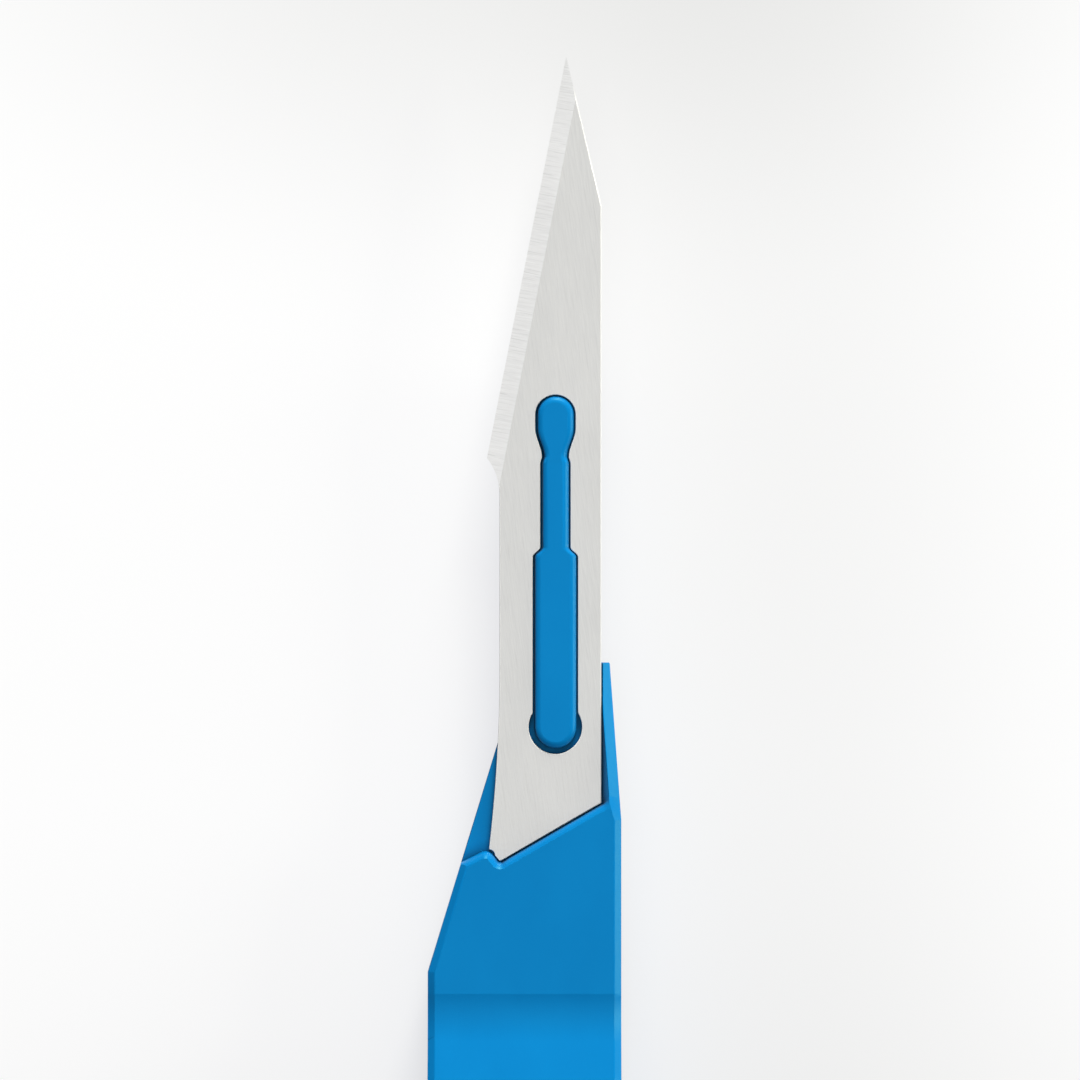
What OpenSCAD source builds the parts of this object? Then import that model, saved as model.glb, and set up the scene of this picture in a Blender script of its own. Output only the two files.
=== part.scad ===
// Disposable scalpel: a slotted stab blade seated on a flat moulded handle.
// +Y runs from the handle to the blade's tip, +X towards the blade's spine, and +Z out of
// the face that carries the blade. The origin is the middle of the footprint, on the
// surface that the handle lies on. Inside the modules, y = 0 is the corner where the
// blade's heel meets its spine, and centred() moves that to the shared origin.

/* [Blade] */
// Width of the blade between its spine and the parallel part of its front edge
blade_w = 6.1; // [5.4:0.1:6.6]
// Thickness of the blade
blade_t = 0.4; // [0.3:0.05:0.6]
// Length from the tip to the corner of heel and spine
blade_len = 44.8; // [42:0.2:55]
// Distance of the tip from the line of the spine
tip_inset = 2.1; // [1:0.1:3]
// Length of the clipped back below the tip, along the spine
clip_len = 8.9; // [5:0.1:14]
// Length of the cutting edge, along the spine
edge_len = 24.1; // [21:0.1:27]
// How far the cutting edge's end stands out past the parallel part
edge_proud = 0.76; // [0.3:0.02:1.2]
// Radius of the relief behind the cutting edge
relief_r = 3.5; // [2:0.1:6]
// Width of the ground bevel on each face
bevel_w = 1.05; // [0.6:0.05:1.5]
// Thickness left along the cutting edge
edge_land = 0.02; // [0.01:0.01:0.05]
// Angle of the heel to a square cut across the blade
heel_angle = 30; // [20:1:35]
// Extra width that the tang flares out by at its heel
heel_flare = 0.64; // [0.3:0.02:0.9]
// Length of that flare, along the spine
flare_len = 10.8; // [7:0.1:14]
// Width of the clipped corner at the flared end of the heel
corner_w = 0.66; // [0.5:0.02:0.8]
// Height of that clipped corner
corner_h = 0.72; // [0.6:0.02:0.9]
// Radius of the round nick in that corner
nick_r = 0.36; // [0.25:0.01:0.45]

/* [Slot] */
// Distance of the slot's centreline from the spine
slot_inset = 2.75; // [2.5:0.05:3.1]
// Distance of the round keyhole's centre from the corner of heel and spine
keyhole_y = 4.55; // [4:0.05:6]
// Radius of the round keyhole
keyhole_r = 1.6; // [1.45:0.05:1.8]
// Width of the wide part of the slot
wide_w = 2.7; // [2.3:0.02:2.8]
// Length of the wide part, from the keyhole's centre
wide_len = 10.2; // [8:0.1:12]
// Width of the slot's neck
neck_w = 1.8; // [1.5:0.05:2.1]
// Length of the neck, with both of its shoulders
neck_len = 6; // [5:0.1:8]
// Width of the waist between the neck and the bulb
waist_w = 1.6; // [1.3:0.05:1.75]
// Width of the bulb at the slot's front end
bulb_w = 2.42; // [2.2:0.02:2.8]
// Length of the bulb, from the waist to its round end
bulb_len = 3.75; // [3.4:0.05:4.5]

/* [Handle] */
// Width of the handle at its front
handle_w = 11.6; // [11:0.1:14]
// Width of the handle at its tail
tail_w = 9.8; // [9:0.1:11]
// Length from the blade's heel corner to the tail
handle_len = 115.2; // [90:0.2:130]
// Length of the parallel front part, from the shoulder
parallel_len = 36; // [30:1:45]
// Thickness of the grip
grip_t = 5.8; // [5.4:0.1:6.5]
// Thickness of the flat nose
nose_t = 3.7; // [3.4:0.1:4]
// Corner radius of the tail, seen from above
tail_r = 3.6; // [2:0.1:4]
// Chamfer along the edges
edge_c = 0.42; // [0.2:0.02:0.6]

/* [Nose] */
// Distance from the blade's heel corner back to the shoulder
shoulder_len = 10.1; // [9:0.1:14]
// Angle of the slanting edge above the shoulder
nose_angle = 17; // [14:0.5:18]
// Depth of the blade's upper face below the nose's face
blade_recess = 0.75; // [0.65:0.05:0.9]
// Thickness of the wall along the spine, at its root
wall_w = 1.12; // [0.9:0.02:1.4]
// Thickness of that wall at its tip
wall_tip_w = 0.44; // [0.36:0.02:0.7]
// Height of that wall's tip above the blade's seat
wall_tip_h = 0.26; // [0.1:0.02:0.5]
// Width of the chamfer along that wall's outer edge
wall_c = 0.72; // [0.42:0.02:0.8]
// Length of that wall past the heel corner
wall_len = 8.4; // [6:0.1:10]
// Distance behind the heel corner where the wall's top starts to fall
wall_fall = 0.4; // [0.3:0.1:1]
// Distance behind the heel corner where the wall's outer side starts to lean in
wall_lean = 1; // [0.5:0.1:2]
// Width of the tongue below the blade
tongue_w = 4.6; // [4.3:0.1:4.8]
// How far the tongue reaches past the slot's front end
tongue_reach = 0.85; // [0.6:0.05:1.2]
// Thickness of the tongue at its root
tongue_root_t = 1.7; // [1.4:0.1:1.9]
// Thickness of the tongue at its tip
tongue_tip_t = 1.2; // [0.9:0.1:1.3]
// How far the wall along the spine leans out, for each millimetre of its height
wall_slope = 0.6; // [0.3:0.05:0.7]
// Rounding of the ledge's upper edge behind the blade's heel
ledge_r = 0.62; // [0.3:0.02:0.64]
// Slope that this rounding starts with at the nose's face
ledge_tilt = 25; // [10:1:40]

/* [Boss] */
// Height of the boss above the blade's upper face
boss_proud = 0.34; // [0.2:0.02:0.4]
// Rounding of the boss's upper edges
boss_r = 0.38; // [0.1:0.02:0.42]
// How much lower the boss is at its bulb
bulb_drop = 0.12; // [0.05:0.01:0.15]

/* [Grip] */
// Distance from the shoulder back to the crease where the hollow starts
hollow_gap = 1.3; // [0.5:0.1:3]
// Radius of the hollow in front of the grip
hollow_r = 6; // [4:0.5:7]
// Slope of the hollow at the crease
hollow_angle = 10; // [8:1:15]
// Slope of the ramp that leads up to the grip
ramp_angle = 17; // [12:1:20]
// Radius of the crest between ramp and grip
crest_r = 5; // [3:0.5:6]
// Number of grip grooves on each face
groove_count = 11; // [5:1:15]
// Spacing of the grip grooves
groove_pitch = 1.8; // [1.5:0.1:2.2]
// Radius of a grip groove
groove_r = 0.6; // [0.5:0.05:0.7]
// Depth of a grip groove
groove_d = 0.3; // [0.15:0.05:0.4]
// Distance from the crest to the first groove
groove_gap = 3; // [1:0.5:6]

/* [Fit] */
// Clearance between the blade's outline and the walls of its seat
seat_clear = 0.08; // [0.04:0.01:0.12]
// Clearance between the boss and the slot
boss_clear = 0.09; // [0.05:0.01:0.12]

/* [Hidden] */
arc_steps = 8;
round_sides = 48;
past = 1;                                  // how far a cutter runs past the solid
far = 30;                                  // beyond everything across the handle
chamfer = [0.6, 0.8];                      // direction that the long edges' chamfers face
nose_z0 = (grip_t - nose_t) / 2;           // underside of the nose
nose_z1 = nose_z0 + nose_t;                // face of the nose
blade_z1 = nose_z1 - blade_recess;         // upper face of the blade
seat_z = blade_z1 - blade_t;               // seat that the blade lies on
spine_x = handle_w / 2 - wall_w - seat_clear;
slot_x = spine_x - slot_inset;
tip = [spine_x - tip_inset, blade_len];
edge_end = [spine_x - blade_w - edge_proud, blade_len - edge_len];
heel_x = spine_x - blade_w - heel_flare;   // flared corner of the heel
heel_low = [heel_x + corner_w, -(spine_x - heel_x - corner_w) * tan(heel_angle)];
heel_y = heel_low[1] + corner_h;
shoulder_y = -shoulder_len;
tail_y = -handle_len;
crease_y = shoulder_y - hollow_gap;
wide_y = keyhole_y + wide_len;
neck_y = wide_y + neck_len;
bulb_end_y = neck_y + bulb_len;
tongue_y = bulb_end_y + tongue_reach;
hump_x = 0.05;                             // the ledge's hump, from the flared corner
hump_y = 0.05;
hump_r = 0.6;
hump_ease = 3;
low_r = 0.2;                               // the ledge's corner below the heel
ledge_in = 0.3;                            // its place, in clearances from the heel
ledge_back = 1.3;
ledge_steps = 4;
ledge_draft = 0.03;                        // how far the ledge's wall leans back
root_r = 0.06;                             // corner of ledge and spine wall, at the blade
root_flare = 0.9;                          // what that radius grows by, for each millimetre up
merge_y = 0.4;                             // where the wall's chamfer has its full width
boss_root = 0.2;                           // how deep the boss is rooted in the tongue
boss_steps = 5;
cap_angle = 6;                             // half of the flat that closes a round end
bulb_bend = 0.68;                          // where the bulb's flanks end, from neck to centre
neck_ease = 0.35;                          // slanting step from the neck to the waist
shoulder_h = 0.6;
nick_tip_r = 0.14;
flare_steps = 12;
tail_steps = 6;
middle_y = (blade_len - handle_len) / 2;

function mix(a, b, t) = a + (b - a) * t;
function ease(t) = (1 - cos(180 * t)) / 2;
function arc(c, r, a0, a1, n = arc_steps) =
    [for (i = [0 : n]) c + r * [cos(mix(a0, a1, i / n)), sin(mix(a0, a1, i / n))]];
function reversed(v) = [for (i = [len(v) - 1 : -1 : 0]) v[i]];
function unit(v) = v / norm(v);

// The values of a list in rising order, each one once.
function sorted(v) = len(v) < 2 ? v :
    let (pivot = v[floor(len(v) / 2)])
    concat(sorted([for (x = v) if (x < pivot) x]), [pivot], sorted([for (x = v) if (x > pivot) x]));

// The corner b between a and c, rounded to radius r.
function rounded(a, b, c, r) =
    let (u = unit(a - b), v = unit(c - b), half = acos(u * v) / 2,
         centre = b + unit(u + v) * r / sin(half),
         from = b + u * r / tan(half) - centre, to = b + v * r / tan(half) - centre,
         a0 = atan2(from[1], from[0]), turn = atan2(to[1], to[0]) - a0,
         a1 = a0 + (turn > 180 ? turn - 360 : turn < -180 ? turn + 360 : turn))
    arc(centre, r, a0, a1);

// A closed outline moved outwards by d, for points that run anticlockwise.
function grown(path, d) = [for (i = [0 : len(path) - 1])
    let (a = path[(i + len(path) - 1) % len(path)], b = path[i], c = path[(i + 1) % len(path)],
         m = [(b - a)[1], -(b - a)[0]] / norm(b - a), n = [(c - b)[1], -(c - b)[0]] / norm(c - b))
    b + (m + n) * d / (1 + m * n)];

// A closed solid through rings of 3-D points, all with the same number of points.
module skin(rings, caps) {
    n = len(rings[0]);
    walls = [for (k = [0 : len(rings) - 2]) for (i = [0 : n - 1])
        let (a = k * n + i, b = k * n + (i + 1) % n)
        each [[a, a + n, b + n], [a, b + n, b]]];
    last = (len(rings) - 1) * n;
    polyhedron([for (ring = rings) each ring],
        concat(walls, caps, [for (f = caps) [for (i = reversed(f)) last + i]]));
}

module centred() translate([0, -middle_y, 0]) children();

// Half of the slot, from its front end to the keyhole's centre, drawn g inside the blade's
// slot: each point is [distance from the centreline, y].
bulb_y = bulb_end_y - bulb_w / 2;
bulb_low_y = mix(neck_y, bulb_y, bulb_bend);
neck_top_y = neck_y - neck_ease;
function flank(w0, w1, y0, y1, g) = [for (i = [0 : arc_steps])
    [mix(w0, w1, ease(i / arc_steps)) / 2 - g, mix(y0, y1, i / arc_steps)]];
function slot_half(g) = concat(
    arc([0, bulb_y], bulb_w / 2 - g, 90 - cap_angle, 0),
    flank(bulb_w, waist_w, bulb_low_y, neck_y, g),
    [[neck_w / 2 - g, neck_top_y]],
    flank(neck_w, wide_w, wide_y + shoulder_h, wide_y, g));

module slot() translate([slot_x, 0]) {
    half = concat(slot_half(0), [[wide_w / 2, keyhole_y]]);
    polygon(concat([for (p = half) [-p[0], p[1]]], reversed(half)));
    translate([0, keyhole_y]) circle(keyhole_r, $fn = round_sides);
}

module blade_outline() {
    flare_y = heel_y + flare_len;
    flare_r = (flare_len * flare_len + heel_flare * heel_flare) / (2 * heel_flare);
    flare_c = [spine_x - blade_w - flare_r, flare_y];
    relief_c = edge_end - [relief_r - edge_proud, sqrt(relief_r ^ 2 - (relief_r - edge_proud) ^ 2)];
    nick_c = [heel_x, heel_y - nick_r];
    polygon(concat(
        [tip, [spine_x, blade_len - clip_len], [spine_x, 0]],
        rounded([spine_x, 0], heel_low, nick_c + [nick_r, 0], nick_tip_r),
        arc(nick_c, nick_r, 0, 90),
        arc(flare_c, flare_r, -asin(flare_len / flare_r), 0, flare_steps),
        arc(relief_c, relief_r, 0, asin((edge_end - relief_c)[1] / relief_r))));
}

// What the grinding of one face takes off along the cutting edge.
module bevel_cut() {
    out = [-(tip - edge_end)[1], (tip - edge_end)[0]];
    translate(edge_end) rotate([0, 0, atan2(out[1], out[0])]) rotate([90, 0, 0])
        linear_extrude(2 * blade_len, center = true)
            polygon([[-bevel_w, blade_t / 2], [0, edge_land / 2], [past, edge_land / 2],
                     [past, blade_t], [-bevel_w, blade_t]]);
}

module blade() color("silver") centred() translate([0, 0, seat_z + blade_t / 2]) difference() {
    linear_extrude(blade_t, center = true) difference() {
        blade_outline();
        slot();
    }
    bevel_cut();
    mirror([0, 0, 1]) bevel_cut();
}

// The handle's faces along its length, as heights above the surface it lies on. The hollow
// is an arc that enters at the crease, the ramp leaves it, and the crest meets the grip.
hollow_steps = 10;
crest_steps = 4;
hollow_d = hollow_r * sin(hollow_angle);
hollow_z = nose_z1 + hollow_r * cos(hollow_angle);
ramp_d = hollow_d + hollow_r * sin(ramp_angle);
ramp_z = hollow_z - hollow_r * cos(ramp_angle);
crest_d = ramp_d + (grip_t - crest_r * (1 - cos(ramp_angle)) - ramp_z) / tan(ramp_angle);
grip_d = crest_d + crest_r * sin(ramp_angle);
function face_z(y) = let (d = crease_y - y)
    d <= 0 ? nose_z1 :
    d <= ramp_d ? hollow_z - sqrt(hollow_r ^ 2 - (d - hollow_d) ^ 2) :
    d <= crest_d ? ramp_z + (d - ramp_d) * tan(ramp_angle) :
    d <= grip_d ? grip_t - crest_r + sqrt(crest_r ^ 2 - (grip_d - d) ^ 2) : grip_t;
function top_z(y) = y > -wall_fall ?
    mix(nose_z1, seat_z + wall_tip_h, (y + wall_fall) / (wall_len + wall_fall)) :
    face_z(y) - max(0, tail_y + edge_c - y);
function under_z(y) = y > -wall_fall ?
    mix(nose_z0, seat_z - tongue_root_t, (y + wall_fall) / (wall_len + wall_fall)) :
    grip_t - top_z(y);

// Half-width of the grip, and the right and left sides of the whole moulding.
tail_c = tail_y + tail_r;
taper_y = shoulder_y - parallel_len;
wall_tip_x = spine_x + seat_clear + wall_tip_w;
function grip_x(y) = let (w = y > taper_y ? handle_w / 2 :
                              mix(handle_w, tail_w, (taper_y - y) / (taper_y - tail_y)) / 2)
    y > tail_c ? w : w - tail_r + sqrt(max(0, tail_r ^ 2 - (tail_c - y) ^ 2));
function right_x(y) = y < -wall_lean ? grip_x(y) :
    mix(handle_w / 2, wall_tip_x, (y + wall_lean) / (wall_len + wall_lean));
function left_x(y) = y < shoulder_y ? -grip_x(y) :
    (y - shoulder_y) * tan(nose_angle) - handle_w / 2;

// Where the outline and the faces bend, and the steps along their arcs.
stations = sorted(concat(
    [for (i = [0 : tail_steps]) tail_c - tail_r * sin(90 * i / tail_steps)],
    [tail_y + edge_c, taper_y, shoulder_y, -wall_lean, -wall_fall, merge_y, wall_len],
    [for (i = [0 : hollow_steps]) crease_y - ramp_d * i / hollow_steps],
    [for (i = [0 : crest_steps]) crease_y - mix(crest_d, grip_d, i / crest_steps)]));

// The moulding on one side only: all that lies below its face towards the unit vector
// [x, z], which runs along the handle. A slanting one gives the chamfer between two faces,
// which widens along the outer edge of the wall beside the spine.
module faced(x, z) {
    function chamfer_w(y) = x < 0 || z < 0 ? edge_c :
        mix(edge_c, wall_c, max(0, min(1, (y + wall_lean) / (merge_y + wall_lean))));
    function reach(y) = (x > 0 ? x * right_x(y) : x * left_x(y))
        + (z > 0 ? z * top_z(y) : z * under_z(y)) - (z == 0 ? 0 : abs(x) * chamfer_w(y));
    over = x == 0 ? 0 : past;
    rotate([0, atan2(x, z), 0]) rotate([90, 0, 90]) linear_extrude(2 * far, center = true)
        polygon(concat([[tail_y - over, -far], [tail_y - over, reach(tail_y)]],
                       [for (y = stations) [y, reach(y)]],
                       [[wall_len + over, reach(wall_len)], [wall_len + over, -far]]));
}

module body() intersection() {
    faced(0, 1);
    faced(chamfer[0], chamfer[1]);
    faced(1, 0);
    faced(chamfer[0], -chamfer[1]);
    faced(0, -1);
    faced(-chamfer[0], -chamfer[1]);
    faced(-1, 0);
    faced(-chamfer[0], chamfer[1]);
}

// The tongue that carries the boss below the blade, round at its tip.
module tongue() intersection() {
    linear_extrude(grip_t) {
        translate([slot_x - tongue_w / 2, 0]) square([tongue_w, tongue_y - tongue_w / 2]);
        translate([slot_x, tongue_y - tongue_w / 2]) circle(tongue_w / 2, $fn = round_sides);
    }
    rotate([90, 0, 90]) linear_extrude(handle_w)
        polygon([[0, seat_z], [0, seat_z - tongue_root_t], [wall_len, seat_z - tongue_root_t],
                 [tongue_y + past, seat_z - tongue_tip_t], [tongue_y + past, seat_z]]);
}

// Outline of the blade's seat at height z: the ledge behind its heel, whose hump fills the
// nick, then the wall along its spine, and nothing on the other sides. g is how far the
// ledge's wall stands back there. The wall along the spine leans out above the blade.
function seat_outline(z, g) =
    let (slope = tan(heel_angle), low = heel_low - seat_clear * [ledge_in, ledge_back],
         root = [spine_x + seat_clear, low[1] + (spine_x + seat_clear - low[0]) * slope],
         hump = [heel_x - hump_x, heel_y + hump_y],
         left = hump - (handle_w / 2) * [1, tan(heel_angle - hump_ease)],
         open_y = tongue_y + past,
         line = grown([[left[0], open_y], left, hump, low, root, [root[0], open_y]], g),
         rise = max(0, z - blade_z1), lean = wall_slope * rise - g)
    concat([line[0], line[1]], rounded(line[1], line[2], line[3], hump_r - g),
           rounded(line[2], line[3], line[4], low_r + g),
           rounded(line[3], line[4] + lean * [1, slope], line[5] + [lean, 0],
                   root_r + root_flare * rise),
           [line[5] + [lean, 0]]);

module seat_cut() {
    function ring(z, g) = [for (p = seat_outline(z, g)) [p[0], p[1], z]];
    function back(a) = ledge_draft + ledge_r * (1 - cos(a));
    path = seat_outline(seat_z, 0);
    turn = 90 - ledge_tilt;
    translate([0, 0, seat_z]) linear_extrude(grip_t) polygon(path);
    skin(concat([ring(blade_z1, 0)],
                [for (i = [0 : ledge_steps]) let (a = turn * i / ledge_steps)
                    ring(nose_z1 - ledge_r * (sin(turn) - sin(a)), back(a))],
                [ring(grip_t + past, back(turn))]),
        [[for (i = [0 : len(path) - 1]) i]]);
}

// The boss fills the slot from the seat up, with round upper edges: one outline at each
// drop below its top, and one at its root. Its top and bottom are strips from side to side.
function boss_top(y) = blade_z1 + boss_proud
    - bulb_drop * ease(max(0, min(1, (y - neck_top_y) / (neck_y - neck_top_y))));
function boss_ring(g, drop) =
    let (half = concat(slot_half(g), arc([0, keyhole_y], wide_w / 2 - g, 0, cap_angle - 90)),
         ring = concat([for (p = half) [-p[0], p[1]]], reversed(half)))
    [for (p = ring) [slot_x + p[0], p[1], is_undef(drop) ? seat_z - boss_root : boss_top(p[1]) - drop]];

module boss() {
    n = len(boss_ring(0, 0)) / 2;
    skin(concat([boss_ring(boss_clear)],
                [for (i = [0 : boss_steps]) let (a = 90 * i / boss_steps)
                    boss_ring(boss_clear + boss_r * (1 - cos(a)), boss_r * (1 - sin(a)))]),
        [for (i = [0 : n - 2]) [i, i + 1, 2 * n - 2 - i, 2 * n - 1 - i]]);
}

module grooves() for (i = [0 : groove_count - 1], side = [0, 1])
    translate([0, crease_y - grip_d - groove_gap - i * groove_pitch,
               side * grip_t + (side * 2 - 1) * (groove_r - groove_d)])
        rotate([0, 90, 0]) cylinder(r = groove_r, h = handle_w + 2 * past, center = true, $fn = round_sides);

module handle() color("dodgerblue") centred() {
    difference() {
        body();
        seat_cut();
        grooves();
    }
    tongue();
    boss();
}

blade();
handle();
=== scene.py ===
"""A disposable scalpel lying on its back on a pale table, blade side up, seen from straight above."""

import math

import bmesh
import bpy
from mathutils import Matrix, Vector

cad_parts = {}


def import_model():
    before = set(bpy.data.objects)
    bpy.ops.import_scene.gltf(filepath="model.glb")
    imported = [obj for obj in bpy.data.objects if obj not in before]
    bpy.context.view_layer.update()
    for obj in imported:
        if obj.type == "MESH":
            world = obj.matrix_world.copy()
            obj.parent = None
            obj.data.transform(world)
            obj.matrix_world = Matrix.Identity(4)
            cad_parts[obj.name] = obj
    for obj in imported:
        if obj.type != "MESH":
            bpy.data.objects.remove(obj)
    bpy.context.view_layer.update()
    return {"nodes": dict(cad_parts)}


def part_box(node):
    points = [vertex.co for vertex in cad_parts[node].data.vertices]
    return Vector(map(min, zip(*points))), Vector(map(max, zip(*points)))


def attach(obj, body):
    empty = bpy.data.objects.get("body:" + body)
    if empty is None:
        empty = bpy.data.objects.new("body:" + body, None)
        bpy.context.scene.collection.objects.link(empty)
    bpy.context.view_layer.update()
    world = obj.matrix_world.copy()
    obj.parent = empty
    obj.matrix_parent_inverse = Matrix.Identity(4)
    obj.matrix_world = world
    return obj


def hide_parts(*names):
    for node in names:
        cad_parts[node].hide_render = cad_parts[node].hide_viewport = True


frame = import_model()

MM = 0.001


def add(name, data):
    """A new object in the scene."""
    made = bpy.data.objects.new(name, data)
    bpy.context.scene.collection.objects.link(made)
    return made


# ---------------------------------------------------------------- materials

BLUE_LOW = (0.0006, 0.200, 0.556, 1)       # the two ends of the plastic's mottle
BLUE_HIGH = (0.0010, 0.214, 0.582, 1)
BLUE_PAINTED_SHADE = (0.0004, 0.080, 0.260, 1)    # painted shade where walls near by block the light
BLUE_PAINTED_LEFT_SHADE = (0.0002, 0.010, 0.045, 1)      # painted deeper shade on the sides of such places that face -X
BLUE_SHINE = (0.25, 1.0, 0.65, 1)
PAINTED_SHADE_REACH = 0.8 * MM                    # how near such a wall is for the painted shade
MOULD_DEPTH = 0.004 * MM
LINE_DEPTH = 0.006 * MM


class Shader:
    """A material's node tree, with its nodes made and linked in one call each."""

    def __init__(self, name):
        self.material = bpy.data.materials.new(name)
        self.material.use_nodes = True
        self.tree = self.material.node_tree
        self.tree.nodes.clear()
        self.output = self.tree.nodes.new("ShaderNodeOutputMaterial")
        coordinates = self.tree.nodes.new("ShaderNodeTexCoord").outputs
        self.place, self.normal = coordinates["Object"], coordinates["Normal"]

    def node(self, kind, settings=None, **inputs):
        """A new node. An input goes by its name, with _ for a space, or by its number after a _."""
        made = self.tree.nodes.new("ShaderNode" + kind)
        for key, value in (settings or {}).items():
            setattr(made, key, value)
        for key, value in inputs.items():
            socket = made.inputs[int(key[1:])] if key[0] == "_" else made.inputs[key.replace("_", " ")]
            if isinstance(value, bpy.types.NodeSocket):
                self.tree.links.new(value, socket)
            else:
                socket.default_value = value
        return made

    def math(self, operation, a, b, clamp=False):
        return self.node("Math", {"operation": operation, "use_clamp": clamp}, _0=a, _1=b).outputs[0]

    def weighted(self, *terms):
        """The sum of the (value, weight) terms."""
        total = 0.0
        for value, weight in terms:
            total = self.math("ADD", total, self.math("MULTIPLY", value, weight))
        return total

    def noise(self, size, turn=0.0, detail=2.0, rough=0.5, warp=0.0):
        """Noise with features of size (x, y, z) in millimetres, turned by degrees about Z."""
        at = self.node("Mapping", {"vector_type": "TEXTURE"}, _0=self.place,
                       _2=(0, 0, math.radians(turn)), _3=[k * MM for k in size]).outputs[0]
        return self.node("TexNoise", None, Vector=at, Scale=1.0, Detail=detail, Roughness=rough,
                         Distortion=warp).outputs[0]

    def ramp(self, value, low=0.0, high=1.0, start=0.3, end=0.7):
        """value from start..end spread over low..high."""
        made = self.node("MapRange", None, Value=value)
        for name, number in (("From Min", start), ("From Max", end), ("To Min", low), ("To Max", high)):
            made.inputs[name].default_value = number
        return made.outputs[0]

    def blend(self, factor, a, b):
        return self.node("Mix", {"data_type": "RGBA"}, _0=factor, _6=a, _7=b).outputs[2]

    def bump(self, height, distance):
        return self.node("Bump", None, Height=height, Distance=distance, Strength=1.0).outputs[0]

    def finish(self, closure):
        self.tree.links.new(closure.outputs[0], self.output.inputs["Surface"])
        return self.material


def plastic():
    """Blue moulded plastic: satin, faintly mottled, with a fine mould texture, and with painted shade in
    its recesses, deepest on their sides that face -X.
    """
    s = Shader("blue_plastic")
    mottle = s.noise((3.0, 5.0, 3.0), detail=3.0)
    grain = s.noise((0.07, 0.07, 0.07))
    # Painted shade in recesses: the ambient occlusion of walls near by darkens the colour.
    open_air = s.node("AmbientOcclusion", {"samples": 8}, Distance=PAINTED_SHADE_REACH).outputs["AO"]
    # Painted deeper shade on recess sides that face -X, away from the right-hand lamp.
    sideways = s.node("SeparateXYZ", None, Vector=s.normal).outputs["X"]
    leftward = s.math("MULTIPLY", sideways, -1.0, clamp=True)
    painted_left_shade_mask = s.math("MULTIPLY", s.math("SUBTRACT", 1.0, open_air), leftward)
    colour = s.blend(s.ramp(mottle), BLUE_LOW, BLUE_HIGH)
    colour = s.blend(s.ramp(open_air, start=0.45, end=0.95), BLUE_PAINTED_SHADE, colour)
    colour = s.blend(s.ramp(painted_left_shade_mask, start=0.02, end=0.20), colour, BLUE_PAINTED_LEFT_SHADE)
    return s.finish(s.node("BsdfPrincipled", None, Base_Color=colour, Roughness=s.ramp(grain, 0.32, 0.42),
                           Specular_IOR_Level=0.22, Specular_Tint=BLUE_SHINE,
                           Normal=s.bump(grain, MOULD_DEPTH)))


def steel(name, turn, wide, long, tint, rough, streak, scratch=0.0, metallic=0.85):
    """Stainless steel with parallel lines, wide and long in millimetres, turned by degrees
    from the Y axis. They vary the tint by streak, and the fewer long ones darken it by scratch."""
    s = Shader(name)
    wave = s.noise((2.5, 4.0, 2.5), detail=1.0)
    fine = s.noise((wide, long, 0.3), turn, detail=3.0, rough=0.6, warp=0.15)
    coarse = s.noise((3 * wide, 1.6 * long, 0.5), turn, warp=0.2)
    hair = s.ramp(s.noise((1.5 * wide, 2.2 * long, 0.5), turn, detail=1.0), start=0.62, end=0.72)
    lines = s.weighted((fine, 0.55), (coarse, 0.45))
    shade = s.weighted((lines, 0.85), (wave, 0.15), (hair, -scratch))
    dark, light = ([min(1.0, c * (1 + k)) for c in tint] + [1] for k in (-streak, streak))
    return s.finish(s.node("BsdfPrincipled", None, Base_Color=s.blend(s.ramp(shade), dark, light),
                           Metallic=metallic, Roughness=s.ramp(lines, rough, rough + 0.12),
                           Normal=s.bump(lines, LINE_DEPTH)))


# ------------------------------------------------------------------- pieces

WELD = 0.0004 * MM                         # vertices this near are one
LEVEL = math.radians(0.4)                  # and faces this near in slope are one
FLAT, GROUND, RIM_PAINTED_HIGHLIGHT = range(3)               # the blade's materials, by place; the rim's is a painted highlight


def fine_copy(node, name, materials, width, segments, bevelled, crisp):
    """A copy of a CAD node with its flat faces joined and smooth shading. The edges that
    bevelled() picks get a small bevel, and those that crisp() picks stay sharp creases."""
    mesh = bpy.data.meshes.new(name)
    bm = bmesh.new()
    bm.from_mesh(frame["nodes"][node].data)
    bmesh.ops.remove_doubles(bm, verts=bm.verts, dist=WELD)
    bmesh.ops.dissolve_limit(bm, angle_limit=LEVEL, verts=bm.verts, edges=bm.edges)
    weight = bm.edges.layers.float.new("bevel_weight_edge")
    for edge in bm.edges:
        angle = math.degrees(edge.calc_face_angle(0.0))
        edge[weight] = float(bevelled(edge, angle))
        edge.smooth = not crisp(edge, angle)
    bm.to_mesh(mesh)
    bm.free()
    mesh.attributes.remove(mesh.attributes["custom_normal"])
    mesh.polygons.foreach_set("use_smooth", [True] * len(mesh.polygons))
    for material in materials:
        mesh.materials.append(material)
    piece = add(name, mesh)
    bevel = piece.modifiers.new("edges", "BEVEL")
    bevel.width = width
    bevel.segments = segments
    bevel.limit_method = "WEIGHT"
    bevel.use_clamp_overlap = False
    bevel.harden_normals = True
    piece.modifiers.new("normals", "WEIGHTED_NORMAL").keep_sharp = True
    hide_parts(node)
    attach(piece, "root")
    return piece, bevel


def outline(edge, angle):
    """An edge round one of the blade's flat faces, apart from the thin cutting edge."""
    return angle > 60 and any(abs(face.normal.z) > 0.9999 for face in edge.link_faces)


def ground(face):
    """A face that the grinding left, which slopes a little towards the cutting edge."""
    return 0.02 < abs(face.normal.x) < 0.6 and abs(face.normal.z) > 0.6


def ground_border(edge, angle):
    return angle > 4 and any(ground(face) for face in edge.link_faces)


def long_corner(edge, angle):
    return angle > 30 and edge.is_convex and edge.calc_length() > 0.8 * MM


def crease(edge, angle):
    """The start of the thumb hollow, at 10 degrees, or a sharp edge that has no bevel."""
    return 8 < angle < 12 or angle > 23 and not long_corner(edge, angle)


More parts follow.
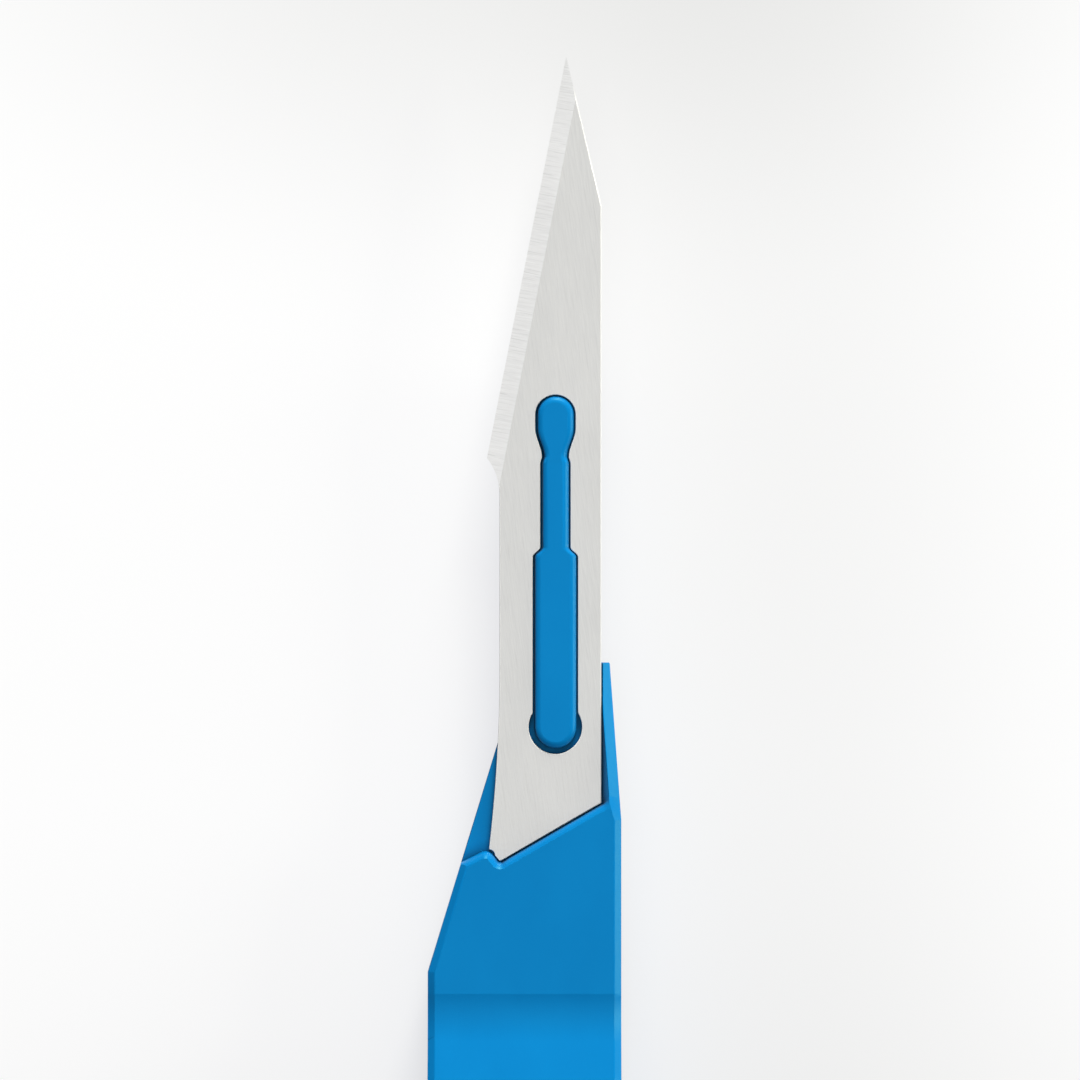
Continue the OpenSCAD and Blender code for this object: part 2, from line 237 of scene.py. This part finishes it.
blade_steel = [
    steel("steel_flat", turn=8, wide=0.06, long=1.3, tint=(0.685, 0.685, 0.678), rough=0.30,
          streak=0.10, scratch=0.1),
    steel("steel_ground", turn=78.8, wide=0.045, long=3.0, tint=(0.86, 0.86, 0.86), rough=0.28,
          streak=0.14, scratch=0.35),
    # The bevelled rim: near-white and hardly metallic, a painted highlight along the blade's edges.
    steel("steel_rim_painted_highlight", turn=0, wide=0.06, long=1.0, tint=(0.97, 0.97, 0.97), rough=0.35,
          streak=0.02, metallic=0.1)]
blade, rim = fine_copy("blade", "blade_steel", blade_steel, width=0.05 * MM, segments=1,
                       bevelled=outline, crisp=ground_border)
rim.material = RIM_PAINTED_HIGHLIGHT
for face in blade.data.polygons:
    face.material_index = GROUND if ground(face) else FLAT

handle, _ = fine_copy("handle", "handle_moulding", [plastic()], width=0.06 * MM, segments=3,
                      bevelled=long_corner, crisp=crease)


# ------------------------------------------------- camera, floor and lights

PIXEL = 0.06 * MM                          # the photograph's pixel on the blade's face
FRAME_PX = 1080
SPINE_PX, HEEL_PX = 601.2, 803.0           # the photograph's corner of spine and heel
TIP_TO_HEEL = 44.8 * MM                    # along the spine
BLADE_HIGH = Vector(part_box("blade")[1])
LENS, SENSOR = 200.0, 36.0

camera = add("camera", bpy.data.cameras.new("camera"))
camera.data.lens = LENS
camera.data.sensor_width = SENSOR
camera.location = (BLADE_HIGH.x - (SPINE_PX - FRAME_PX / 2) * PIXEL,
                   BLADE_HIGH.y - TIP_TO_HEEL + (HEEL_PX - FRAME_PX / 2) * PIXEL,
                   BLADE_HIGH.z + FRAME_PX * PIXEL * LENS / SENSOR)
bpy.context.scene.camera = camera

FLOOR_HALF = 3.0
FLOOR_GREY = (0.31, 0.31, 0.31, 1)
FLOOR_GLOW = (0.975, 0.975, 1.0, 1)
FLOOR_BRIGHT = 0.70
# Painted soft shades on the floor, one like a shadow right of the object: centre x and y, reach across and
# along, in the photograph's pixels, and depth.
FLOOR_PAINTED_SHADES = ((800, 540, 380, 2000, 0.085), (620, -480, 1500, 850, 0.15),
                (520, -60, 700, 430, 0.09), (680, 1560, 1500, 850, 0.13))


def on_floor(x, y):
    """The place on the floor that the photograph shows at pixel x, y."""
    return (camera.location.x + (x - FRAME_PX / 2) * PIXEL,
            camera.location.y - (y - FRAME_PX / 2) * PIXEL, 0)


def floor():
    """A wide pale table. What the camera and reflections see of it is lifted to white, then darkened by the
    painted soft shades.
    """
    mesh = bpy.data.meshes.new("floor")
    mesh.from_pydata([(x * FLOOR_HALF, y * FLOOR_HALF, 0) for x, y in ((-1, -1), (1, -1), (1, 1), (-1, 1))],
                     [], [(0, 1, 2, 3)])
    s = Shader("floor")
    rays = s.node("LightPath").outputs
    seen = s.math("ADD", rays["Is Camera Ray"], rays["Is Glossy Ray"], clamp=True)
    bright = FLOOR_BRIGHT
    for x, y, wide, high, depth in FLOOR_PAINTED_SHADES:
        at = s.node("Mapping", {"vector_type": "TEXTURE"}, _0=s.place, _1=on_floor(x, y),
                    _3=(wide * PIXEL, high * PIXEL, 1)).outputs[0]
        near = s.node("TexGradient", {"gradient_type": "SPHERICAL"}, Vector=at).outputs[1]
        soft = s.node("MapRange", {"interpolation_type": "SMOOTHSTEP"}, Value=near).outputs[0]
        # Each painted shade takes its depth off the floor's glow.
        bright = s.math("SUBTRACT", bright, s.math("MULTIPLY", soft, depth))
    lit = s.node("BsdfDiffuse", None, Color=FLOOR_GREY)
    glow = s.node("Emission", None, Color=FLOOR_GLOW, Strength=s.math("MULTIPLY", seen, bright))
    mesh.materials.append(s.finish(s.node("AddShader", None, _0=lit.outputs[0], _1=glow.outputs[0])))
    table = add("floor", mesh)


def softbox(name, towards, distance, size, light, colour=(1, 1, 1)):
    """A square lamp that faces AIM. light is what it adds to a white surface facing it."""
    towards = Vector(towards).normalized()
    data = bpy.data.lights.new(name, "AREA")
    data.size = size
    data.color = colour
    data.energy = light * math.pi ** 2 * distance ** 2
    lamp = add(name, data)
    lamp.location = AIM + towards * distance
    lamp.rotation_euler = (-towards).to_track_quat("-Z", "Y").to_euler()


def world(strength):
    made = bpy.data.worlds.new("studio")
    bpy.context.scene.world = made
    made.use_nodes = True
    back = made.node_tree.nodes["Background"].inputs
    back["Color"].default_value = (1, 1, 1, 1)
    back["Strength"].default_value = strength


AIM = Vector((0, camera.location.y, 0))
floor()
world(0.30)
softbox("overhead", (-0.12, 0, 1), distance=0.9, size=0.70, light=0.17)
softbox("top_key", (0.15, 0.93, 0.38), distance=0.8, size=0.30, light=1.27, colour=(1, 1, 0.90))
softbox("right_key", (0.95, 0, 0.275), distance=0.8, size=0.25, light=0.45, colour=(1, 1, 0.85))
bpy.context.scene.view_settings.view_transform = "Standard"
